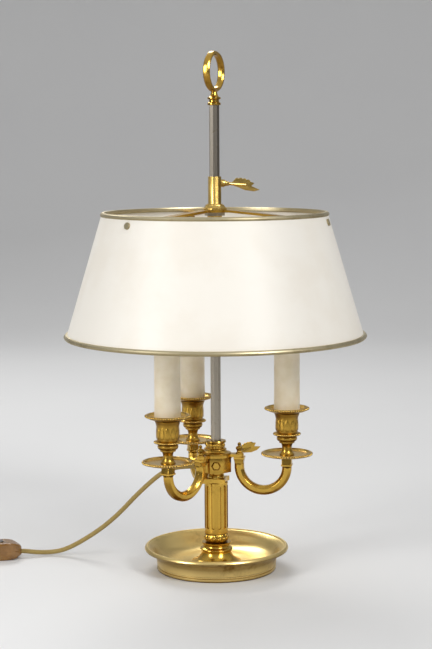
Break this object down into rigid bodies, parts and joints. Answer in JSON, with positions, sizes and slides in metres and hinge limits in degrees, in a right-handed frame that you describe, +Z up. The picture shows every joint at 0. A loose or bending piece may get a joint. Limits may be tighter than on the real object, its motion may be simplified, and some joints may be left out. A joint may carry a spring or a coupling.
{
  "type": "bouillotte table lamp",
  "caption": "Brass table lamp with a painted metal drum shade on a sliding collar, candle branches on a sliding hub, a dish foot and an in-line switch.",
  "frame": {"origin": "on the table under the stem's axis, at the centre of the foot ring's underside", "axes": "+Z up along the stem, -Y toward the lamp's front, +X to the front's right, away from the cord"},
  "size_m": [0.6571, 0.379, 0.6501],
  "materials": {
    "gilt_brass": "antique gilt, polished on the edges and darker in the hollows",
    "steel": "satin mill steel",
    "shade_paint": "satin cream paint",
    "candle_sleeve": "milky wax colour",
    "lampholder": "matte dark",
    "bulb_glass": "clear",
    "cord_cover": "braided golden cover",
    "switch_shell": "gold-brown gloss",
    "plug_shell": "gold-brown gloss",
    "pin_brass": "bright"
  },
  "bodies": {
    "stand": {"base_dish": "gilt_brass", "base_washer": "steel", "base_nut": "steel", "column_foot": "gilt_brass", "column_ring": "gilt_brass", "column_shaft": "gilt_brass", "column_capital": "gilt_brass", "stem": "steel", "ring_handle": "gilt_brass", "cord_to_switch": "cord_cover", "cord_to_coil": "cord_cover", "cord_coil": "cord_cover", "switch_lower": "switch_shell", "switch_upper": "switch_shell", "plug_body": "plug_shell", "plug_pins": "pin_brass"},
    "branches": {"hub_body": "gilt_brass", "hub_plate": "gilt_brass", "hub_cap": "gilt_brass", "hub_medallions": "gilt_brass", "cord_gland": "gilt_brass", "arm_right": "gilt_brass", "finial_right": "gilt_brass", "ferrule_right": "gilt_brass", "drip_pan_right": "gilt_brass", "candle_cup_right": "gilt_brass", "bobeche_right": "gilt_brass", "candle_right": "candle_sleeve", "lampholder_right": "lampholder", "bulb_right": "bulb_glass", "arm_rear": "gilt_brass", "finial_rear": "gilt_brass", "ferrule_rear": "gilt_brass", "drip_pan_rear": "gilt_brass", "candle_cup_rear": "gilt_brass", "bobeche_rear": "gilt_brass", "candle_rear": "candle_sleeve", "lampholder_rear": "lampholder", "bulb_rear": "bulb_glass", "arm_left": "gilt_brass", "finial_left": "gilt_brass", "ferrule_left": "gilt_brass", "drip_pan_left": "gilt_brass", "candle_cup_left": "gilt_brass", "bobeche_left": "gilt_brass", "candle_left": "candle_sleeve", "lampholder_left": "lampholder", "bulb_left": "bulb_glass"},
    "hub_screw": {"hub_key": "gilt_brass"},
    "shade": {"shade_cone": "shade_paint", "shade_bottom_rim": "gilt_brass", "shade_top_rim": "gilt_brass", "shade_spider": "gilt_brass", "shade_sleeve": "gilt_brass", "sleeve_nut": "steel", "shade_screws": "gilt_brass"},
    "shade_screw": {"shade_key": "gilt_brass"},
    "rocker": {"switch_rocker": "lampholder"}
  },
  "joints": [
    {"name": "branch_slide", "type": "slide", "parent": "stand", "child": "branches", "axis": [0, 0, 1], "range_m": [0, 0.03]},
    {"name": "hub_key_turn", "type": "hinge", "parent": "branches", "child": "hub_screw", "pos_m": [0, 0, 0.1346], "axis": [0.6941, 0.6941, 0.1908], "range_deg": [-180, 180]},
    {"name": "shade_slide", "type": "slide", "parent": "stand", "child": "shade", "axis": [0, 0, 1], "range_m": [0, 0.08]},
    {"name": "shade_key_turn", "type": "hinge", "parent": "shade", "child": "shade_screw", "pos_m": [0, 0, 0.4887], "axis": [0.9811, 0.173, -0.0872], "range_deg": [-180, 180]},
    {"name": "rocker_tilt", "type": "hinge", "parent": "stand", "child": "rocker", "pos_m": [-0.2865, 0.05, 0.0196], "axis": [0.2169, -0.9762, 0], "range_deg": [-7, 7]}
  ]
}
